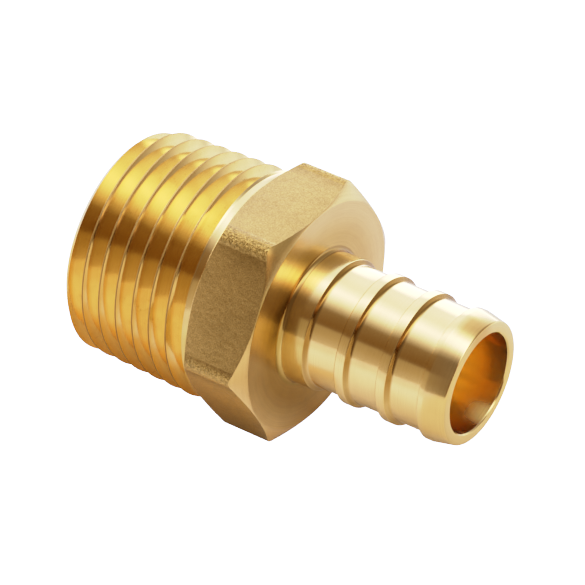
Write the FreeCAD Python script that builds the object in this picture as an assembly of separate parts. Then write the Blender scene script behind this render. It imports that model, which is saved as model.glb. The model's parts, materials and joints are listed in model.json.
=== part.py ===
import FreeCAD, Part
import math
import os

# Brass adapter that joins half-inch crimped tube to a half-inch tapered pipe thread.
# It is one forging, turned and bored: a tapered male thread, a hexagon for the wrench,
# and a ribbed insert that the tube is pushed over. It lies with a flat of the hexagon
# down and its axis along +X, towards the insert's tip. All sizes are in millimetres.

# Tapered male thread, 14 turns to the inch
thread_pitch = 25.4 / 14
thread_major_diameter = 20.72      # over the crests, at the end face
thread_taper = 1.0 / 16            # change of diameter along the axis
thread_length = 12.70              # from the end face to the plain land
thread_flank_angle = 30.0          # between a flank and a plane square to the axis
thread_crest_width = 0.12
thread_start_angle = 251.4         # where the groove's middle crosses the end face
thread_end_chamfer = 0.75
runout_turns = 0.45                # the last part of a turn, where the groove fades out
runout_lift = 1.15                 # rise of the groove's root there, in depths of the thread
groove_overcut = 0.35              # how far the cutter stands over the crest, in crest widths
groove_lead_in = 1.0               # turns that the cutter takes before the end face
groove_steps = 12                  # sections of the cutter in each turn

# Plain land between the thread and the hexagon
land_diameter = 21.20
land_lead = 0.25                   # length of the cone from the thread down to the land
land_length = 0.65

# Hexagon, forged, with both of its faces turned
hex_across_flats = 21.25
hex_length = 6.40                  # from face to face
hex_face_diameter = 21.10
hex_chamfer_angle = 30.0           # between a chamfer and the hexagon's face
hex_edge_round = 0.90              # the forging die leaves the six edges soft
blank_margin = 0.5                 # extra radius of the round blank over the corners

# Ribbed insert
rib_diameter = 12.10
neck_diameter = 11.28              # between the ribs
collar_length = 2.47               # plain collar next to the hexagon
collar_foot_bevel = 0.42           # where the collar meets the hexagon's face
rib_count = 2
rib_pitch = 4.19
rib_width = 0.95
rib_ramp_length = 0.24             # the side of a rib that faces the tip
tip_rib_length = 2.52
tip_rib_land = 0.55                # the straight part of the rib at the tip
tip_diameter = 11.28
tip_edge_bevel = 0.20

# Bore: narrow through the insert, wide through the thread
insert_bore_diameter = 9.22
thread_bore_diameter = 14.20
thread_bore_depth = 16.20
bore_step_angle = 30.0             # between the step and a plane square to the axis
bore_edge_break = 0.12

# Stations along the axis, measured from the thread's end face
land_start = thread_length + land_lead
hex_back = land_start + land_length
hex_front = hex_back + hex_length
collar_end = hex_front + collar_length
tip_rib_start = collar_end + (rib_count + 1) * rib_pitch - rib_width
total_length = tip_rib_start + tip_rib_length

# Radii that the shapes share
crest_radius = thread_major_diameter / 2
land_radius = land_diameter / 2
hex_face_radius = hex_face_diameter / 2
rib_radius = rib_diameter / 2
neck_radius = neck_diameter / 2
hex_apothem = hex_across_flats / 2
hex_corner_radius = hex_apothem / math.cos(math.pi / 6)
blank_radius = hex_corner_radius + blank_margin
flank_slope = math.tan(math.radians(thread_flank_angle))
thread_depth = (thread_pitch - thread_crest_width) / 2 / flank_slope

ORIGIN = FreeCAD.Vector(0, 0, 0)
AXIS = FreeCAD.Vector(1, 0, 0)


def crest_radius_at(x):
    """Radius over the thread's crests at a distance from the end face."""
    return crest_radius + thread_taper / 2 * x


def turned(outline):
    """Solid of revolution about the axis from (distance, radius) points."""
    corners = [FreeCAD.Vector(x, radius, 0) for x, radius in outline]
    return Part.Face(Part.makePolygon(corners + corners[:1])).revolve(ORIGIN, AXIS, 360)


def blank():
    """The whole turned form with its bore, before the flats and the thread are cut."""
    rise = math.tan(math.radians(hex_chamfer_angle))
    step_length = (thread_bore_diameter - insert_bore_diameter) / 2 * math.tan(
        math.radians(bore_step_angle))
    outline = [
        (0, thread_bore_diameter / 2 + bore_edge_break),
        (0, crest_radius_at(thread_end_chamfer) - thread_end_chamfer),
        (thread_end_chamfer, crest_radius_at(thread_end_chamfer)),
        (thread_length, crest_radius_at(thread_length)),
        (land_start, land_radius),
        (hex_back, land_radius),
        (hex_back + (blank_radius - land_radius) * rise, blank_radius),
        (hex_front - (blank_radius - hex_face_radius) * rise, blank_radius),
        (hex_front, hex_face_radius),
        (hex_front, rib_radius + collar_foot_bevel),
        (hex_front + collar_foot_bevel, rib_radius),
        (collar_end, rib_radius),
        (collar_end + rib_ramp_length, neck_radius),
    ]
    for k in range(1, rib_count + 1):
        rib_end = collar_end + k * rib_pitch
        outline += [
            (rib_end - rib_width, neck_radius),
            (rib_end - rib_width, rib_radius),
            (rib_end, rib_radius),
            (rib_end + rib_ramp_length, neck_radius),
        ]
    outline += [
        (tip_rib_start, neck_radius),
        (tip_rib_start, rib_radius),
        (tip_rib_start + tip_rib_land, rib_radius),
        (total_length - tip_edge_bevel, tip_diameter / 2),
        (total_length, tip_diameter / 2 - tip_edge_bevel),
        (total_length, insert_bore_diameter / 2 + bore_edge_break),
        (total_length - bore_edge_break, insert_bore_diameter / 2),
        (thread_bore_depth + step_length, insert_bore_diameter / 2),
        (thread_bore_depth, thread_bore_diameter / 2),
        (bore_edge_break, thread_bore_diameter / 2),
    ]
    return turned(outline)


def outside_of_hexagon():
    """What the six flats take away: a ring around a prism with a flat at the bottom."""
    corners = []
    for k in range(7):
        angle = math.radians(60 * k)
        corners.append(FreeCAD.Vector(
            hex_back, hex_corner_radius * math.cos(angle), hex_corner_radius * math.sin(angle)))
    prism = Part.Face(Part.makePolygon(corners)).extrude(AXIS * hex_length)
    long_edges = [edge for edge in prism.Edges if abs(edge.tangentAt(edge.FirstParameter).x) > 0.9]
    prism = prism.makeFillet(hex_edge_round, long_edges)
    ring = Part.makeCylinder(
        blank_radius + blank_margin, hex_length, FreeCAD.Vector(hex_back, 0, 0), AXIS)
    return ring.cut(prism)


def groove_section(turn, last_turn):
    """Corners of the thread groove's section, so many turns after the end face."""
    x = turn * thread_pitch
    fade = max(0, turn - last_turn + runout_turns) / runout_turns
    root = crest_radius_at(x) - thread_depth * (1 - runout_lift * fade ** 2)
    top = root + thread_depth + groove_overcut * thread_crest_width / 2 / flank_slope
    top_half = (top - root) * flank_slope
    angle = math.radians(thread_start_angle) + 2 * math.pi * turn
    section = []
    for along, radius in ((-top_half, top), (0, root), (top_half, top)):
        section.append(FreeCAD.Vector(x + along, radius * math.cos(angle), radius * math.sin(angle)))
    return section


def thread_groove():
    """Cutters of the right-hand helical groove, one for each turn, end to end.

    Each is bounded by three helical edges, with a ruled side between each two.
    """
    last_turn = hex_back / thread_pitch
    first_turn = -groove_lead_in
    cutter_count = math.ceil(last_turn - first_turn)
    section_count = cutter_count * groove_steps
    turns = [first_turn + (last_turn - first_turn) * i / section_count for i in range(section_count + 1)]
    sections = [groove_section(turn, last_turn) for turn in turns]
    helices = []
    for k in range(3):
        helix = Part.BSplineCurve()
        helix.interpolate(Points=[section[k] for section in sections], Parameters=turns)
        helices.append(helix)
    cutters = []
    for start in range(0, section_count, groove_steps):
        end = start + groove_steps
        edges = []
        for helix in helices:
            stretch = helix.copy()
            stretch.segment(turns[start], turns[end])
            edges.append(stretch.toShape())
        sides = [Part.makeRuledSurface(edges[k], edges[(k + 1) % 3]) for k in range(3)]
        for section in (sections[start], sections[end]):
            sides.append(Part.Face(Part.makePolygon(section + section[:1])))
        shell = Part.makeShell(sides)
        shell.sewShape()
        cutters.append(Part.makeSolid(shell))
    return cutters


def adapter():
    """The finished piece, with the origin under its middle at the level of its lowest point."""
    body = blank().cut(outside_of_hexagon())
    body = body.cut(thread_groove())
    lowest = body.optimalBoundingBox(False, False).ZMin
    body.translate(FreeCAD.Vector(-total_length / 2, 0, -lowest))
    return body


os.makedirs("parts", exist_ok=True)
adapter_body = adapter()
adapter_body.exportStep("parts/adapter_body.step")
print("volume", adapter_body.Volume, "solids", len(adapter_body.Solids), "valid", adapter_body.isValid())
print("box", adapter_body.optimalBoundingBox(False, False))
print("centre of mass", adapter_body.Solids[0].CenterOfMass, "length", total_length)
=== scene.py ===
import json
import math

import bmesh
import bpy
from mathutils import Matrix, Vector, noise


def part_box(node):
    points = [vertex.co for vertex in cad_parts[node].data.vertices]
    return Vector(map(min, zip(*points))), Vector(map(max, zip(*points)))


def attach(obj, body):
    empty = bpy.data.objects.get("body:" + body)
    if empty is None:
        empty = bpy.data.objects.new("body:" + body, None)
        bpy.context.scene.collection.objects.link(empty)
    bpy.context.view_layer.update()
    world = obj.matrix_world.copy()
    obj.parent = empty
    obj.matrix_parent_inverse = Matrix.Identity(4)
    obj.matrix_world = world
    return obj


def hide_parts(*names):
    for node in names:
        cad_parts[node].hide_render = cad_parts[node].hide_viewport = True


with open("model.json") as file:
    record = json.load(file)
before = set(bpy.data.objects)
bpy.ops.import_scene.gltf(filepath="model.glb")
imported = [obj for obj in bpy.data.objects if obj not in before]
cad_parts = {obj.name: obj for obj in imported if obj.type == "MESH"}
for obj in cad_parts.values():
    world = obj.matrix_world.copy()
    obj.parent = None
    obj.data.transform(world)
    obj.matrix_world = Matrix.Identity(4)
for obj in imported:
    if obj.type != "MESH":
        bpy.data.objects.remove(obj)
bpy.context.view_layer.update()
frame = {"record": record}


# The adapter's turned form
# It is one brass forging. The thread's cone, the plain land, both faces and chamfers of the
# hexagon, the ribbed insert and the bore are turned in a lathe, so one outline gives them all.
mm = 0.001                         # the frame is in metres
mounts = {mount["name"]: mount for mount in frame["record"]["mounts"]}
lowest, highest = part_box("adapter_body")
total_length = highest.x - lowest.x
axis_height = mounts["insert_bore"]["pos_m"][2]
insert_bore_radius = mounts["insert_bore"]["dims"]["r_mm"] * mm
thread_bore_radius = mounts["thread_bore"]["dims"]["r_mm"] * mm
thread_bore_depth = 16.20 * mm
bore_step_length = 1.44 * mm
bore_edge_break = 0.12 * mm

thread_pitch = 25.4 / 14 * mm
crest_radius = 10.355 * mm         # at the end face, 0.005 mm low to leave room for the wobble
radius_growth = 1 / 32             # of the taper, along the axis
thread_length = 12.70 * mm
thread_end_chamfer = 0.75 * mm
land_radius = 10.60 * mm
land_start = 12.95 * mm

hex_back = 13.60 * mm
hex_front = 20.00 * mm
hex_apothem = 21.25 / 2 * mm
hex_corner_radius = hex_apothem / math.cos(math.pi / 6)
hex_face_radius = 10.55 * mm
hex_chamfer_slope = math.tan(math.radians(30))
blank_radius = hex_corner_radius + 0.5 * mm

rib_radius = 6.05 * mm
neck_radius = 5.64 * mm
collar_end = 22.47 * mm
collar_fillet = 0.42 * mm
rib_pitch = 4.19 * mm
rib_width = 0.95 * mm
rib_ramp_length = 0.24 * mm
rib_edge = 0.09 * mm               # rounding of the ribs' edges
rib_fillet = 0.30 * mm             # at the foot of the side that faces the tip
tip_rib_start = 34.09 * mm
tip_rib_land = 0.55 * mm
tip_radius = 5.64 * mm
tip_round = 0.22 * mm

sharp_edge = 0.035 * mm            # rounding that a turned edge keeps
root_corner = 0.08 * mm
turning_steps = 288
arc_step = math.radians(18)
merge_distance = 1e-6 * mm


def rounded(corners):
    """Points of a closed outline, where each corner (distance, radius, rounding) gets its arc."""
    points = []
    for i, (x, radius, rounding) in enumerate(corners):
        corner = Vector((x, radius))
        back = (Vector(corners[i - 1][:2]) - corner).normalized()
        ahead = (Vector(corners[(i + 1) % len(corners)][:2]) - corner).normalized()
        half = back.angle(ahead) / 2
        centre = corner + (back + ahead).normalized() * (rounding / math.sin(half))
        start = corner + back * (rounding / math.tan(half)) - centre
        sweep = start.angle_signed(corner + ahead * (rounding / math.tan(half)) - centre)
        count = max(1, math.ceil(abs(sweep) / arc_step))
        for k in range(count + 1):
            points.append(centre + Matrix.Rotation(-sweep * k / count, 2) @ start)
    return points


def crest_radius_at(x):
    """Radius over the thread's crests at a distance from the end face."""
    return crest_radius + radius_growth * x


outline = [
    (0, thread_bore_radius + bore_edge_break, sharp_edge),
    (0, crest_radius_at(thread_end_chamfer) - thread_end_chamfer, sharp_edge),
    (thread_end_chamfer, crest_radius_at(thread_end_chamfer), sharp_edge),
    (thread_length, crest_radius_at(thread_length), sharp_edge),
    (land_start, land_radius, root_corner),
    (hex_back, land_radius, root_corner),
    (hex_back + (blank_radius - land_radius) * hex_chamfer_slope, blank_radius, sharp_edge),
    (hex_front - (blank_radius - hex_face_radius) * hex_chamfer_slope, blank_radius, sharp_edge),
    (hex_front, hex_face_radius, 2 * root_corner),
    (hex_front, rib_radius, collar_fillet),
    (collar_end, rib_radius, rib_edge),
    (collar_end + rib_ramp_length, neck_radius, rib_fillet),
]
for k in (1, 2):
    rib_end = collar_end + k * rib_pitch
    outline += [
        (rib_end - rib_width, neck_radius, root_corner),
        (rib_end - rib_width, rib_radius, rib_edge),
        (rib_end, rib_radius, rib_edge),
        (rib_end + rib_ramp_length, neck_radius, rib_fillet),
    ]
outline += [
    (tip_rib_start, neck_radius, root_corner),
    (tip_rib_start, rib_radius, rib_edge),
    (tip_rib_start + tip_rib_land, rib_radius, 2 * root_corner),
    (total_length, tip_radius, tip_round),
    (total_length, insert_bore_radius + bore_edge_break, sharp_edge),
    (total_length - bore_edge_break, insert_bore_radius, sharp_edge),
    (thread_bore_depth + bore_step_length, insert_bore_radius, sharp_edge),
    (thread_bore_depth, thread_bore_radius, sharp_edge),
    (bore_edge_break, thread_bore_radius, sharp_edge),
]

body = bmesh.new()
corners = [body.verts.new((point.x, point.y, 0)) for point in rounded(outline)]
edges = [body.edges.new((corners[i - 1], corners[i])) for i in range(len(corners))]
bmesh.ops.spin(
    body, geom=corners + edges, cent=(0, 0, 0), axis=(1, 0, 0), angle=2 * math.pi,
    steps=turning_steps, use_merge=True)
bmesh.ops.remove_doubles(body, verts=body.verts, dist=merge_distance)
bmesh.ops.recalc_face_normals(body, faces=body.faces)


# The hexagon's flats
# The forging die gives six flats with soft, rounded edges between them. The lathe then cuts
# the chamfers, which meet each flat in a shallow curve.
corner_round = 0.90 * mm
corner_facets = 7
rim_round = 0.06 * mm
seam = 0.01 * mm                   # margin where a stretch of the axis ends
outside_radius = land_radius - 0.2 * mm    # all of the hexagon's outside lies beyond it
FLAT = 1


def reach(vert):
    """Distance of a point from the axis."""
    return math.hypot(vert.co.y, vert.co.z)


def in_hexagon(face):
    """Whether a face lies on the outside of the hexagon's stretch."""
    middle = face.calc_center_median()
    return hex_back - seam < middle.x < hex_front + seam and all(
        reach(vert) > outside_radius for vert in face.verts)


def cut_flat(degrees, distance):
    """Cut the hexagon's stretch by a plane so far from the axis, and close the cut."""
    angle = math.radians(degrees)
    outward = Vector((0, math.cos(angle), math.sin(angle)))
    faces = [face for face in body.faces if in_hexagon(face)]
    around = set(faces)
    for face in faces:
        around.update(face.verts)
        around.update(face.edges)
    cut = bmesh.ops.bisect_plane(
        body, geom=list(around), plane_co=outward * distance, plane_no=outward, clear_outer=True,
        dist=merge_distance)
    rim = [item for item in cut["geom_cut"] if isinstance(item, bmesh.types.BMEdge)]
    filled = bmesh.ops.contextual_create(body, geom=rim)
    for face in filled["faces"]:
        face.material_index = FLAT
        face.normal_update()
        if face.normal.dot(outward) < 0:
            face.normal_flip()


for k in range(6):
    cut_flat(60 * k + 30, hex_apothem)
round_centre = (hex_apothem - corner_round) / math.cos(math.pi / 6)
for k in range(6):
    for i in range(corner_facets):
        lean = 60 * (i + 0.5) / corner_facets - 30
        cut_flat(60 * k + lean, round_centre * math.cos(math.radians(lean)) + corner_round)
rims = [edge for edge in body.edges if len({face.material_index for face in edge.link_faces}) == 2]
bmesh.ops.bevel(
    body, geom=rims, offset=rim_round, offset_type="OFFSET", affect="EDGES", segments=2, profile=0.5,
    material=FLAT, clamp_overlap=True)


# The thread's groove
# A right-hand V groove of 60 degrees, cut with a single point. It follows the taper, starts
# on the end face and fades out over the last half turn before the land.
crest_width = 0.12 * mm
crest_round = 0.07 * mm
crest_arc_steps = 4
groove_root_width = 0.03 * mm
flank_angle = math.radians(30)         # between a flank and a plane square to the axis
thread_depth = (thread_pitch - crest_width) / 2 / math.tan(flank_angle)
groove_overcut = 0.01 * mm
wobble = 0.012 * mm                    # unevenness of the cut
wobble_grain = 1.6 * mm
groove_start = math.radians(251.4)     # angle of the groove where it crosses the end face
runout_turns = 0.45
runout_lift = 1.15
lead_in_turns = 1.0
steps_in_a_turn = 144
crest_depth = 1.2 * crest_round        # how far down the flanks the crests' finish reaches
THREAD = 2
CREST = 4

last_turn = hex_back / thread_pitch
groove = bmesh.new()
first_angle = groove_start - 2 * math.pi * lead_in_turns
flank_top = (thread_pitch - crest_width) / 2
side = [(groove_root_width / 2, -thread_depth + groove_root_width / 2 / math.tan(flank_angle))]
tangent = crest_round * math.tan(math.pi / 4 - flank_angle / 2)
for i in range(crest_arc_steps + 1):
    lean = (math.pi / 2 - flank_angle) * i / crest_arc_steps
    side.append((
        flank_top - tangent * math.sin(flank_angle)
        + crest_round * (math.cos(flank_angle) - math.cos(flank_angle + lean)),
        -tangent * math.cos(flank_angle)
        + crest_round * (math.sin(flank_angle + lean) - math.sin(flank_angle))))
side.append((side[-1][0] + groove_overcut / 4, groove_overcut))
section = []
for along, rise in [(-along, rise) for along, rise in reversed(side)] + side:
    radius = crest_radius + rise
    section.append(groove.verts.new((
        along - lead_in_turns * thread_pitch,
        radius * math.cos(first_angle), radius * math.sin(first_angle))))
groove_face = groove.faces.new(section)
steps = round((last_turn + lead_in_turns) * steps_in_a_turn)
sweep = 2 * math.pi * (last_turn + lead_in_turns)
bmesh.ops.spin(
    groove, geom=[groove_face, *groove_face.edges, *section], cent=(0, 0, 0), axis=(1, 0, 0),
    angle=sweep, steps=steps, dvec=((last_turn + lead_in_turns) * thread_pitch / steps, 0, 0))
for vert in groove.verts:
    share = (math.atan2(vert.co.z, vert.co.y) - groove_start) / (2 * math.pi) % 1
    turn = share + round(vert.co.x / thread_pitch - share)
    fade = max(0, turn - last_turn + runout_turns) / runout_turns
    radius = reach(vert)
    grown = radius + radius_growth * vert.co.x + thread_depth * runout_lift * fade ** 2
    vert.co.yz = vert.co.yz * (grown / radius)
    vert.co.x += wobble * noise.noise(vert.co / wobble_grain)
bmesh.ops.recalc_face_normals(groove, faces=groove.faces)

# The crests' finish: on the narrow bands between the turns, and on the groove's upper edges
for face in groove.faces:
    depths = [crest_radius_at(vert.co.x) - reach(vert) for vert in face.verts]
    face.material_index = CREST if max(depths) < crest_depth else THREAD
for face in body.faces:
    middle = face.calc_center_median()
    if thread_end_chamfer < middle.x < thread_length and all(
            reach(vert) > crest_radius for vert in face.verts):
        face.material_index = CREST


def finished(form, name):
    """Object of a bmesh, moved from the thread's end to its place in the frame."""
    bmesh.ops.translate(form, verts=form.verts, vec=(lowest.x, 0, axis_height))
    mesh = bpy.data.meshes.new(name)
    form.to_mesh(mesh)
    form.free()
    piece = bpy.data.objects.new(name, mesh)
    bpy.context.scene.collection.objects.link(piece)
    return piece


adapter = finished(body, "brass_adapter")
cutter = finished(groove, "groove_cutter")


# Brass
# All of it is one alloy. The turned faces are bright, with fine rings from the tool, and the
# flats keep the grain of the forging. Handling has left a thin, uneven tarnish on it.
def effect(name, inputs, outputs):
    """Empty shader node group with float or vector sockets, and its two end nodes."""
    tree = bpy.data.node_groups.new(name, "ShaderNodeTree")
    for label, kind, value in inputs:
        socket = tree.interface.new_socket(label, in_out="INPUT", socket_type="NodeSocket" + kind)
        if kind == "Float":
            socket.default_value = value
    for label in outputs:
        tree.interface.new_socket(label, in_out="OUTPUT", socket_type="NodeSocketFloat")
    return tree, tree.nodes.new("NodeGroupInput"), tree.nodes.new("NodeGroupOutput")


def sums(tree, operation, first, second=0.0, third=0.0):
    """Output of a math node on values or on the outputs of other nodes."""
    node = tree.nodes.new("ShaderNodeMath")
    node.operation = operation
    for slot, value in enumerate((first, second, third)):
        if isinstance(value, bpy.types.NodeSocket):
            tree.links.new(value, node.inputs[slot])
        else:
            node.inputs[slot].default_value = value
    return node.outputs["Value"]


def times(tree, first, *others):
    """Product of two or more masks or values."""
    return sums(tree, "MULTIPLY", first, others[0] if len(others) == 1 else times(tree, *others))


def spread(tree, value, low, high, start=0.0, end=1.0, kind="LINEAR"):
    """Output of a map range node from low..high to start..end."""
    node = tree.nodes.new("ShaderNodeMapRange")
    node.interpolation_type = kind
    tree.links.new(value, node.inputs["Value"])
    node.inputs["From Min"].default_value = low
    node.inputs["From Max"].default_value = high
    node.inputs["To Min"].default_value = start
    node.inputs["To Max"].default_value = end
    return node.outputs["Result"]


def falling(tree, value, low, high, kind="LINEAR"):
    """Mask that is 1 up to the low value and falls to 0 at the high one."""
    return spread(tree, value, low, high, 1.0, 0.0, kind)


def parted(tree, vector):
    """The three numbers of a vector."""
    node = tree.nodes.new("ShaderNodeSeparateXYZ")
    tree.links.new(vector, node.inputs["Vector"])
    return node.outputs["X"], node.outputs["Y"], node.outputs["Z"]


def clouds(tree, place, grain, detail=2.0, rough=0.5):
    """Noise in space with grains of a given size in metres."""
    node = tree.nodes.new("ShaderNodeTexNoise")
    tree.links.new(place, node.inputs["Vector"])
    node.inputs["Scale"].default_value = 1 / grain
    node.inputs["Detail"].default_value = detail
    node.inputs["Roughness"].default_value = rough
    return node.outputs["Fac"]


def bands(tree, distance, grain, detail=2.0):
    """Noise along one distance only, in bands of a given width."""
    node = tree.nodes.new("ShaderNodeTexNoise")
    node.noise_dimensions = "1D"
    tree.links.new(distance, node.inputs["W"])
    node.inputs["Scale"].default_value = 1 / grain
    node.inputs["Detail"].default_value = detail
    return node.outputs["Fac"]


def blend(tree, amount, first, second, kind="MIX"):
    """Colour between two colours, by an amount."""
    node = tree.nodes.new("ShaderNodeMix")
    node.data_type = "RGBA"
    node.blend_type = kind
    for label, value in (("Factor", amount), ("A", first), ("B", second)):
        socket = next(item for item in node.inputs if item.enabled and item.name == label)
        if isinstance(value, bpy.types.NodeSocket):
            tree.links.new(value, socket)
        elif label == "Factor":
            socket.default_value = value
        else:
            socket.default_value = (*value, 1)
    return next(item for item in node.outputs if item.enabled)


# Rings that a tool leaves: lines where a distance across them is the same
tool_marks, given, result = effect(
    "tool_marks", [("Place", "Vector", None), ("Across", "Float", 0.0), ("Feed", "Float", 0.12 * mm)],
    ["Height", "Streak"])
tree = tool_marks
steps_across = sums(tree, "DIVIDE", given.outputs["Across"], given.outputs["Feed"])
lines = bands(tree, steps_across, 1.0, 3.0)
patch = spread(tree, clouds(tree, given.outputs["Place"], 2.2 * mm), 0.35, 0.65, 0.35, 1.0)
swing = times(tree, sums(tree, "SUBTRACT", lines, 0.5), patch)
tree.links.new(swing, result.inputs["Height"])
tree.links.new(sums(tree, "ADD", times(tree, swing, 2.0), 0.5), result.inputs["Streak"])

# Tarnish: large soft clouds and a few small spots
tarnish, given, result = effect(
    "tarnish", [("Place", "Vector", None), ("Spots", "Float", 0.5)], ["Amount"])
tree = tarnish
cloud = spread(tree, clouds(tree, given.outputs["Place"], 3.5 * mm, 4.0, 0.6), 0.45, 0.72)
spot = spread(tree, clouds(tree, given.outputs["Place"], 0.42 * mm, 1.0), 0.66, 0.76)
spot = times(tree, spot, cloud, given.outputs["Spots"])
tree.links.new(sums(tree, "ADD", times(tree, cloud, 0.35), spot), result.inputs["Amount"])


class Finish:
    """Brass material with the nodes that every finish shares."""

    def __init__(self, name, colour, dark, roughness, spots):
        self.material = bpy.data.materials.new(name)
        self.material.use_nodes = True
        self.tree = self.material.node_tree
        self.shader = self.tree.nodes["Principled BSDF"]
        self.shader.inputs["Metallic"].default_value = 1
        self.shader.inputs["Roughness"].default_value = roughness
        self.place = self.tree.nodes.new("ShaderNodeTexCoord").outputs["Object"]
        aged = self.add_group(tarnish)
        aged.inputs["Spots"].default_value = spots
        self.colour = blend(self.tree, aged.outputs["Amount"], colour, dark)

    def add_group(self, group):
        """Node of a shared effect, fed with the place on the piece."""
        node = self.tree.nodes.new("ShaderNodeGroup")
        node.node_tree = group
        self.tree.links.new(self.place, node.inputs["Place"])
        return node

    def distances(self):
        """Distance from the thread's end, sideways, and up from the axis."""
        x, y, z = parted(self.tree, self.place)
        return sums(self.tree, "SUBTRACT", x, lowest.x), y, sums(self.tree, "SUBTRACT", z, axis_height)

    def radius(self):
        """Distance from the axis."""
        side, above = self.distances()[1:]
        return sums(self.tree, "SQRT", sums(
            self.tree, "MULTIPLY_ADD", side, side, times(self.tree, above, above)))

    def finish(self, height, depth):
        """Join the colour and the relief to the shader."""
        self.tree.links.new(self.colour, self.shader.inputs["Base Color"])
        bump = self.tree.nodes.new("ShaderNodeBump")
        bump.inputs["Distance"].default_value = depth
        self.tree.links.new(height, bump.inputs["Height"])
        self.tree.links.new(bump.outputs["Normal"], self.shader.inputs["Normal"])

    def darken(self, amount, colour):
        """Multiply the finished colour by another one, by an amount."""
        self.colour = blend(self.tree, amount, self.colour, blend(
            self.tree, 1.0, self.colour, colour, "MULTIPLY"))
        self.tree.links.new(self.colour, self.shader.inputs["Base Color"])


def turned(name, colour, dark, roughness, spots, feed, depth, slope):
    """Brass with rings; slope is the taper that the rings follow, or 1 for faces and walls alike."""
    metal = Finish(name, colour, dark, roughness, spots)
    marks = metal.add_group(tool_marks)
    marks.inputs["Feed"].default_value = feed
    across = sums(metal.tree, "MULTIPLY_ADD", metal.distances()[0], slope, metal.radius())
    metal.tree.links.new(across, marks.inputs["Across"])
    shade = blend(metal.tree, marks.outputs["Streak"], (0.90, 0.88, 0.84), (1.0, 1.0, 1.0))
    metal.colour = blend(metal.tree, 1.0, metal.colour, shade, "MULTIPLY")
    metal.finish(marks.outputs["Height"], depth)
    return metal


turned_brass = turned(
    "turned_brass", colour=(0.92, 0.69, 0.29), dark=(0.76, 0.53, 0.20), roughness=0.14, spots=0.4,
    feed=0.10 * mm, depth=0.0006 * mm, slope=1.0)

# Painted shade in the ribs' corners: a dark shoulder past each rib, and a thin line before it
tree = turned_brass.tree
along, side, above = turned_brass.distances()
past_rib = sums(tree, "FLOORED_MODULO", sums(tree, "SUBTRACT", along, collar_end), rib_pitch)
shoulder = times(
    tree, falling(tree, past_rib, 0.26 * mm, 0.48 * mm),
    spread(tree, above, -1 * mm, 1.5 * mm, 0.25, 1.0))
rib_start = sums(tree, "ABSOLUTE", sums(tree, "SUBTRACT", past_rib, rib_pitch - rib_width))
corner = times(
    tree, spread(tree, rib_start, 0.04 * mm, 0.10 * mm, 0.6, 0.0),
    spread(tree, clouds(tree, turned_brass.place, 1.2 * mm), 0.35, 0.6))
ribbed = times(
    tree, spread(tree, along, collar_end - seam, collar_end),
    falling(tree, along, tip_rib_start + 0.3 * mm, tip_rib_start + 0.4 * mm))
# Painted shade in the ribs' corners
rib_corner_shade = times(tree, ribbed, sums(tree, "MAXIMUM", shoulder, corner))
turned_brass.darken(rib_corner_shade, (0.50, 0.38, 0.22))

# The same painted shade round the upper half of the collar's foot
foot = times(
    tree, spread(tree, along, hex_front - 2 * seam, hex_front),
    falling(tree, along, hex_front + 0.9 * collar_fillet, hex_front + collar_fillet))
turned_brass.darken(times(tree, foot, spread(tree, above, 0, 4 * mm)), (0.52, 0.42, 0.28))

# Painted shade on top of the tip rib's cone
off_top = sums(tree, "ABSOLUTE", side)
cone_top_shade = times(
    tree, spread(tree, along, tip_rib_start + 0.6 * mm, tip_rib_start + 1.2 * mm),
    falling(tree, off_top, 0.4 * mm, 2.2 * mm, "SMOOTHSTEP"), spread(tree, above, 3 * mm, 4.5 * mm))
turned_brass.darken(cone_top_shade, (0.82, 0.70, 0.52))

# Painted shade on the lower side of the land and the collar
before_ribs = falling(tree, along, collar_end - 2 * seam, collar_end)
turned_brass.darken(
    times(tree, before_ribs, falling(tree, above, 1.5 * mm, 4.5 * mm)), (0.74, 0.72, 0.52))

# The hexagon's turned front and its chamfer have a few rubbed rings, and painted shade inwards, towards
# the collar
faced_brass = turned(
    "faced_brass", colour=(0.84, 0.61, 0.265), dark=(0.70, 0.48, 0.19), roughness=0.24, spots=0.3,
    feed=0.16 * mm, depth=0.0008 * mm, slope=1.0)
tree = faced_brass.tree
out = faced_brass.radius()
rubbed = times(
    tree, spread(tree, bands(tree, out, 0.55 * mm), 0.50, 0.62),
    spread(tree, clouds(tree, faced_brass.place, 2.6 * mm), 0.45, 0.62))
faced_brass.darken(times(tree, rubbed, 0.2), (0.78, 0.75, 0.72))
faced_brass.darken(falling(tree, out, 7.6 * mm, 9.6 * mm), (0.84, 0.78, 0.58))

# Painted shade on the chamfer of the upper corner on the -Y side
side, above = faced_brass.distances()[1:]
rim_shade = times(
    tree, spread(tree, out, hex_face_radius - 0.15 * mm, hex_face_radius - 0.02 * mm),
    falling(tree, side, -4 * mm, -2 * mm), spread(tree, above, 2.5 * mm, 4.5 * mm))
faced_brass.darken(rim_shade, (0.70, 0.68, 0.54))

# Painted shade beside the collar's foot, on the same side
collar_foot_shade = times(
    tree, falling(tree, out, 6.6 * mm, 8.4 * mm, "SMOOTHSTEP"),
    falling(tree, side, -4.5 * mm, -3 * mm), spread(tree, above, 0.5 * mm, 2 * mm),
    falling(tree, above, 4.2 * mm, 5.6 * mm))
faced_brass.darken(collar_foot_shade, (0.46, 0.42, 0.36))

# Painted shade on the thread's flanks: darker towards the crests, most of all on the lower side
thread_brass = turned(
    "thread_brass", colour=(0.94, 0.70, 0.28), dark=(0.66, 0.42, 0.12), roughness=0.12, spots=1.0,
    feed=0.07 * mm, depth=0.0007 * mm, slope=-radius_growth)
tree = thread_brass.tree
cone = sums(tree, "MULTIPLY_ADD", thread_brass.distances()[0], radius_growth, crest_radius)
depth = sums(tree, "SUBTRACT", cone, thread_brass.radius())
near_crest = falling(tree, depth, 0.15 * mm, 0.60 * mm)
low_side = spread(tree, thread_brass.distances()[2], 1 * mm, 6 * mm, 1.0, 0.3)
thread_brass.darken(times(tree, near_crest, low_side), (0.88, 0.72, 0.44))
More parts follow.
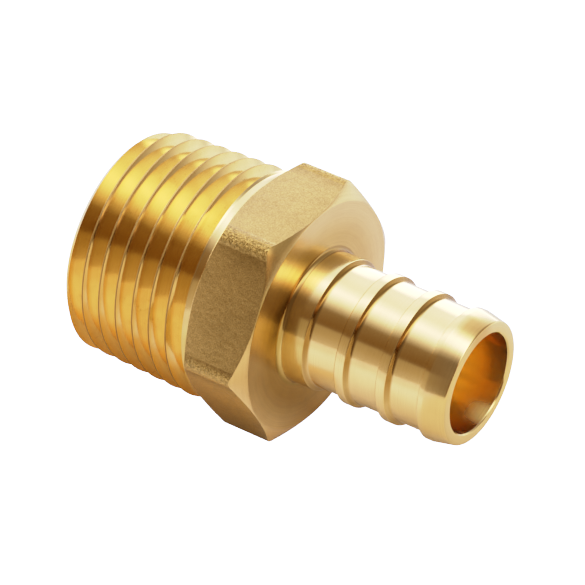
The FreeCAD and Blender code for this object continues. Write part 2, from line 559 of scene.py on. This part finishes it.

# The crests are brown and dull, with painted shade on their lower side
crest_brass = turned(
    "crest_brass", colour=(0.60, 0.38, 0.12), dark=(0.42, 0.25, 0.07), roughness=0.50, spots=1.0,
    feed=0.07 * mm, depth=0.0007 * mm, slope=-radius_growth)
low_side = falling(crest_brass.tree, crest_brass.distances()[2], 0, 6 * mm)
crest_brass.darken(low_side, (0.62, 0.52, 0.36))

# The bore's colour is painted the brightest, to make up for light lost over its many bounces. Its
# mouth has painted shade, light high on the +Y side and darker across from it, and a dull patch between
# them
bore_roughness = 0.14
dull_roughness = 0.46
bored_brass = turned(
    "bored_brass", colour=(1.0, 0.87, 0.54), dark=(0.96, 0.79, 0.44), roughness=bore_roughness,
    spots=0.0, feed=0.14 * mm, depth=0.0010 * mm, slope=1.0)
tree = bored_brass.tree
along, side, above = bored_brass.distances()
shade_lean = math.radians(47)          # from +Y up towards the high stain
upward = sums(
    tree, "MULTIPLY_ADD", side, math.cos(shade_lean), times(tree, above, math.sin(shade_lean)))
inward = sums(tree, "SUBTRACT", total_length, along)
uneven = times(tree, sums(tree, "SUBTRACT", clouds(tree, bored_brass.place, 2.0 * mm), 0.5), 1.6 * mm)
in_mouth = falling(tree, inward, 4.0 * mm, 5.0 * mm)
high_bore_shade = spread(
    tree, sums(tree, "ADD", uneven, sums(tree, "MULTIPLY_ADD", inward, -0.25, upward)),
    1.3 * mm, 2.8 * mm, kind="SMOOTHSTEP")
low_bore_shade = spread(
    tree, sums(tree, "SUBTRACT", sums(tree, "MULTIPLY_ADD", inward, 0.4, uneven), upward),
    2.9 * mm, 4.1 * mm, kind="SMOOTHSTEP")
bored_brass.darken(times(tree, in_mouth, high_bore_shade), (0.84, 0.94, 1.0))
bored_brass.darken(times(tree, in_mouth, low_bore_shade), (0.50, 0.56, 0.80))
dull_patch = times(
    tree, falling(tree, inward, 0.4 * mm, 3.2 * mm, "SMOOTHSTEP"),
    falling(tree, upward, -2.0 * mm, -0.8 * mm, "SMOOTHSTEP"),
    spread(tree, upward, -3.8 * mm, -2.6 * mm, kind="SMOOTHSTEP"))
bored_brass.darken(dull_patch, (1.0, 0.92, 0.58))
tree.links.new(
    spread(tree, dull_patch, 0.0, 1.0, bore_roughness, dull_roughness),
    bored_brass.shader.inputs["Roughness"])

# The forging's skin: fine grain over soft lumps, with deeper pits along the hexagon's corners
forged_brass = Finish(
    "forged_brass", colour=(0.60, 0.405, 0.145), dark=(0.36, 0.235, 0.08), roughness=0.34, spots=0.6)
tree = forged_brass.tree
grain = clouds(tree, forged_brass.place, 0.10 * mm, 3.0, 0.75)
lumps = clouds(tree, forged_brass.place, 0.55 * mm)
pits = clouds(tree, forged_brass.place, 0.24 * mm, rough=0.6)
side, above = forged_brass.distances()[1:]
turn = sums(tree, "ARCTAN2", above, side)
off_corner = sums(tree, "PINGPONG", turn, math.pi / 6)
at_corner = times(
    tree, spread(tree, above, -4 * mm, 3 * mm, 0.35, 1.0),
    falling(tree, off_corner, math.radians(2.2), math.radians(4.8), "SMOOTHSTEP"))
skin = sums(tree, "MULTIPLY_ADD", lumps, 1.8, grain)
skin = sums(tree, "MULTIPLY_ADD", times(tree, pits, at_corner), 11.0, skin)
forged_brass.finish(skin, 0.022 * mm)

# The grain is speckled, the corners more so, and the lower flats get painted shade
speckle = blend(tree, spread(tree, grain, 0.36, 0.64), (0.64, 0.62, 0.53), (1.12, 1.12, 1.08))
forged_brass.colour = blend(tree, 1.0, forged_brass.colour, speckle, "MULTIPLY")
forged_brass.darken(at_corner, blend(
    tree, spread(tree, pits, 0.38, 0.64), (0.72, 0.68, 0.54), (1.22, 1.18, 0.99)))
forged_brass.darken(falling(tree, above, -10.5 * mm, -4 * mm), (0.58, 0.56, 0.50))

# A soft brown painted shade along one side of each corner
past_corner = sums(tree, "FLOORED_MODULO", turn, math.pi / 3)
shade = times(
    tree, spread(tree, past_corner, math.radians(2.0), math.radians(3.4), kind="SMOOTHSTEP"),
    falling(tree, past_corner, math.radians(3.6), math.radians(11), "SMOOTHSTEP"))
forged_brass.darken(
    times(tree, shade, spread(tree, lumps, 0.30, 0.60, 0.3, 0.8)), (0.66, 0.62, 0.52))

# Which faces of the turned form are the hexagon's turned front, and which the bore's wall
TURNED = 0
BORE = 3
FACED = 5
front_depth = 2 * mm                   # the front and its chamfer lie within it
wall_margin = 0.05 * mm                # faces so near to the bore's radius are its wall
for face in adapter.data.polygons:
    along = face.center.x - lowest.x
    out = math.hypot(face.center.y, face.center.z - axis_height)
    if face.material_index == TURNED and out > rib_radius + collar_fillet:
        if hex_front - front_depth - seam < along < hex_front + seam:
            face.material_index = FACED
    if bore_edge_break < along < total_length - bore_edge_break:
        wall_radius = insert_bore_radius if along > thread_bore_depth else thread_bore_radius
        if out < wall_radius + wall_margin:
            face.material_index = BORE

# In the order of the numbers: TURNED, FLAT, THREAD, BORE, CREST, FACED
for metal in (turned_brass, forged_brass, thread_brass, bored_brass, crest_brass, faced_brass):
    adapter.data.materials.append(metal.material)
    cutter.data.materials.append(metal.material)

sharp_angle = math.radians(28)
cut_away = adapter.modifiers.new("groove", "BOOLEAN")
cut_away.operation = "DIFFERENCE"
cut_away.solver = "EXACT"
cut_away.object = cutter
adapter.data = bpy.data.meshes.new_from_object(
    adapter.evaluated_get(bpy.context.evaluated_depsgraph_get()))
adapter.modifiers.clear()
bpy.data.objects.remove(cutter)
adapter.data.name = adapter.name
adapter.data.shade_smooth()
adapter.data.set_sharp_from_angle(angle=sharp_angle)

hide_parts("adapter_body")
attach(adapter, "root")


# Table and light
# A white table with a long softbox over it and a lit card behind it on the left. The room is
# dark on the camera's side and dim past the insert's tip. Lengths here are in metres.
floor_size = 3.0
brightest = 4.5                        # the room's light is given in shares of it
card_light = 3.8
light_tint = (1.0, 1.05, 1.24)
card_distance = 0.12
card_middle = -0.036
card_half_width = 0.024
card_height = 0.075
card_gap = 0.001                       # under the card
side_fade = 0.012                      # half the width of the card's soft sides
top_fade = 0.02                        # half the height of its soft top
table_glow = 0.35
far_glow = 0.12                        # of the table far behind the insert, as a share of the card's


def plane(name, size):
    """Square sheet in a new bmesh, and the object that it will belong to."""
    form = bmesh.new()
    bmesh.ops.create_grid(form, x_segments=1, y_segments=1, size=size / 2)
    sheet = bpy.data.objects.new(name, bpy.data.meshes.new(name))
    bpy.context.scene.collection.objects.link(sheet)
    sheet.data.materials.append(bpy.data.materials.new(name))
    sheet.data.materials[0].use_nodes = True
    return form, sheet, sheet.data.materials[0].node_tree


def placed(tree):
    """The three coordinates of a place on a sheet."""
    return parted(tree, tree.nodes.new("ShaderNodeTexCoord").outputs["Object"])


def card_window(tree, x):
    """How far a place is lit by the card, going by its distance along the table."""
    off = sums(tree, "ABSOLUTE", sums(tree, "SUBTRACT", x, card_middle))
    return falling(tree, off, card_half_width - side_fade, card_half_width + side_fade, "SMOOTHSTEP")


def lit_by_card(tree, amount, unlit):
    """Surface that shines as the card does, by an amount, and elsewhere has its own shader."""
    glare = tree.nodes.new("ShaderNodeEmission")
    glare.inputs["Color"].default_value = (*light_tint, 1)
    glare.inputs["Strength"].default_value = card_light
    mix = tree.nodes.new("ShaderNodeMixShader")
    tree.links.new(amount, mix.inputs["Fac"])
    tree.links.new(unlit, mix.inputs[1])
    tree.links.new(glare.outputs["Emission"], mix.inputs[2])
    tree.links.new(mix.outputs["Shader"], tree.nodes["Material Output"].inputs["Surface"])


# To the camera the table is plain white. In the brass it shows painted light: as bright as the card
# beside the card, a little bright far behind the insert, and paper elsewhere
form, floor, tree = plane("white_table", floor_size)
form.to_mesh(floor.data)
form.free()
paper = tree.nodes["Principled BSDF"]
paper.inputs["Roughness"].default_value = 0.9
x, y = placed(tree)[:2]
before_card = times(tree, spread(tree, y, 0.030, 0.060, kind="SMOOTHSTEP"), card_window(tree, x))
far_table = times(tree, spread(tree, y, 0.050, 0.075, kind="SMOOTHSTEP"), spread(tree, x, 0.005, 0.015))
bright = sums(tree, "MAXIMUM", before_card, times(tree, far_table, far_glow))
seen = tree.nodes.new("ShaderNodeLightPath").outputs["Is Camera Ray"]
lit_by_card(tree, sums(tree, "MAXIMUM", bright, seen), paper.outputs["BSDF"])

# Painted shadow of the object on the table beside it, with painted brass-coloured bounce light there
# instead
shade_edge = spread(tree, x, 0.000, 0.006, -0.0145, -0.005)
open_table = falling(tree, sums(tree, "SUBTRACT", y, shade_edge), -0.0025, 0.0025, "SMOOTHSTEP")
past_hexagon = times(
    tree, spread(tree, x, 0.003, 0.015, kind="SMOOTHSTEP"),
    falling(tree, y, 0.012, 0.022, "SMOOTHSTEP"))
beside = times(tree, sums(tree, "SUBTRACT", 1.0, open_table), falling(tree, y, 0.002, 0.010))
under_insert = times(
    tree, spread(tree, x, 0.001, 0.005), beside, spread(tree, y, -0.006, -0.003))
around = sums(tree, "SQRT", sums(tree, "MULTIPLY_ADD", y, y, times(tree, x, x)))
sheet_tone = blend(tree, spread(tree, around, 0.008, 0.045), (0.73, 0.65, 0.63), (0.72, 0.74, 0.80))
sheet_tone = blend(tree, falling(tree, y, -0.070, -0.035), sheet_tone, (0.60, 0.54, 0.52))
sheet_tone = blend(tree, past_hexagon, sheet_tone, (0.78, 0.67, 0.47))
on_insert_side = spread(tree, x, -0.001, 0.003)
shaded_tone = blend(tree, on_insert_side, (0.84, 0.62, 0.30), (0.92, 0.87, 0.78))
sheet_tone = blend(tree, beside, sheet_tone, shaded_tone)
sheet_tone = blend(tree, under_insert, sheet_tone, (0.70, 0.61, 0.46))
tree.links.new(sheet_tone, paper.inputs["Base Color"])

# The table's painted glow adds to the light of the room, with less of it beside the object as painted
# shadow
glow_tone = blend(tree, on_insert_side, (1.0, 0.72, 0.36), (1.0, 0.96, 0.90))
glow_tone = blend(tree, open_table, glow_tone, (1.0, 0.99, 1.06))
tree.links.new(glow_tone, paper.inputs["Emission Color"])
covered = times(tree, spread(tree, y, -0.004, 0.000), spread(tree, x, -0.012, -0.004))
shade_glow = times(
    tree, spread(tree, x, 0.001, 0.007, 0.60, 0.75), sums(tree, "MULTIPLY_ADD", covered, -0.8, 1.0))
glow = sums(tree, "MAXIMUM", open_table, shade_glow)
glow = times(tree, glow, sums(tree, "MULTIPLY_ADD", past_hexagon, -0.75, 1.0))
tree.links.new(times(tree, glow, table_glow), paper.inputs["Emission Strength"])

# The card stands behind the thread. The brass mirrors it, and the camera doesn't see it itself
form, card, tree = plane("lit_card", 2 * card_height)
bmesh.ops.rotate(form, verts=form.verts, cent=(0, 0, 0), matrix=Matrix.Rotation(math.radians(90), 3, "X"))
bmesh.ops.translate(form, verts=form.verts, vec=(card_middle, card_distance, card_height + card_gap))
form.to_mesh(card.data)
form.free()
card.visible_camera = False
x, y, z = placed(tree)
shine = times(
    tree, card_window(tree, x),
    falling(tree, z, card_height - top_fade, card_height + top_fade, "SMOOTHSTEP"))
lit_by_card(tree, shine, tree.nodes.new("ShaderNodeBsdfTransparent").outputs["BSDF"])

# The room gives light by the angle round the axis, and by how far along it the light comes from
world = bpy.data.worlds.new("studio")
bpy.context.scene.world = world
world.use_nodes = True
tree = world.node_tree
tree.nodes.clear()
x, y, z = parted(tree, tree.nodes.new("ShaderNodeTexCoord").outputs["Generated"])
round_axis = sums(tree, "DIVIDE", sums(tree, "ARCTAN2", sums(tree, "MAXIMUM", z, 0.0), y), math.pi)


def ramp(tree, value, stops):
    """Colour at a value, between stops of a value and a colour."""
    node = tree.nodes.new("ShaderNodeValToRGB")
    elements = node.color_ramp.elements
    while len(elements) < len(stops):
        elements.new(0.5)
    for element, (place, colour) in zip(elements, stops):
        element.position = place
        element.color = (*colour, 1)
    tree.links.new(value, node.inputs["Fac"])
    return node.outputs["Color"]


def room_light(stops):
    """Light round the axis, from the horizon behind at 0 degrees to the camera's side at 180."""
    return ramp(tree, round_axis, [
        (degrees / 180, [channel / brightest for channel in colour]) for degrees, colour in stops])


# The softbox is the bright stretch about 84 degrees round, wider and softer on the thread's side
thread_side = room_light([
    (0, (1.2, 1.2, 1.45)), (22, (1.6, 1.67, 2.05)), (42, (1.75, 1.81, 2.25)), (63, (1.6, 1.65, 1.95)),
    (75, (2.0, 2.1, 2.5)), (84, (2.6, 2.7, 3.2)), (95, (1.9, 2.0, 2.35)), (104, (1.3, 1.26, 1.42)),
    (113, (0.70, 0.62, 0.60)), (121, (0.29, 0.19, 0.11)), (143, (0.22, 0.118, 0.045)),
    (149, (0.22, 0.125, 0.06)), (151, (0.47, 0.355, 0.24)), (164, (0.55, 0.43, 0.30)),
    (180, (0.72, 0.61, 0.54))])
insert_side = room_light([
    (0, (1.3, 1.3, 1.45)), (5, (1.15, 1.14, 1.22)), (9, (0.92, 0.90, 0.98)), (14, (0.68, 0.65, 0.72)),
    (22, (0.52, 0.485, 0.52)), (42, (0.46, 0.42, 0.45)), (52, (0.55, 0.53, 0.56)),
    (63, (1.0, 1.05, 1.24)), (75, (2.6, 2.75, 3.2)), (84, (3.6, 3.8, 4.4)), (95, (2.7, 2.8, 3.3)),
    (104, (1.35, 1.26, 1.36)), (113, (0.50, 0.42, 0.40)), (121, (0.22, 0.165, 0.14)),
    (143, (0.27, 0.20, 0.155)), (164, (0.25, 0.17, 0.12)), (180, (0.28, 0.21, 0.145))])
room = blend(tree, spread(tree, x, -0.44, 0.24, kind="SMOOTHSTEP"), thread_side, insert_side)

# Past the insert's tip it turns brown and then dark, and beyond the thread's end it is brighter
past_tip = ramp(tree, x, [
    (0.5, (1, 1, 1)), (0.84, (0.95, 0.86, 0.72)), (0.93, (0.9, 0.76, 0.58)),
    (0.96, (0.62, 0.42, 0.25)), (1.0, (0.25, 0.12, 0.05))])
beyond_thread = spread(tree, x, -0.85, -0.75, 1.7, 1.0)
sky = tree.nodes.new("ShaderNodeBackground")
tree.links.new(blend(tree, 1.0, room, past_tip, "MULTIPLY"), sky.inputs["Color"])
tree.links.new(times(tree, beyond_thread, brightest), sky.inputs["Strength"])
output = tree.nodes.new("ShaderNodeOutputWorld")
tree.links.new(sky.outputs["Background"], output.inputs["Surface"])


# Camera
# A long lens from above, on the insert's side, as the photograph was taken.
camera_place = Vector((169.753 * mm + lowest.x, -222.320 * mm, 210.912 * mm + axis_height))
camera_aim = Vector((-0.44634, 0.65120, -0.61377))
lens = bpy.data.cameras.new("camera")
lens.lens = 242.2
lens.sensor_width = 36
camera = bpy.data.objects.new("camera", lens)
camera.location = camera_place
camera.rotation_mode = "QUATERNION"
camera.rotation_quaternion = camera_aim.to_track_quat("-Z", "Y")
bpy.context.scene.collection.objects.link(camera)
bpy.context.scene.camera = camera

# Light goes in and out of the thread and the bore many times
bounces = 24
bpy.context.scene.cycles.max_bounces = bounces
bpy.context.scene.cycles.glossy_bounces = bounces

# Tones of the photograph: straight up to the middle, then a long shoulder to white
view = bpy.context.scene.view_settings
view.view_transform = "Standard"
view.use_curve_mapping = True
film = view.curve_mapping
white_level = 2.4
film.white_level = (white_level, white_level, white_level)
tone = film.curves[3]
for light, shown in ((0.30, 0.29), (0.60, 0.56), (0.80, 0.70), (1.20, 0.82), (1.60, 0.895), (2.00, 0.96)):
    tone.points.new(light / white_level, shown)
film.update()
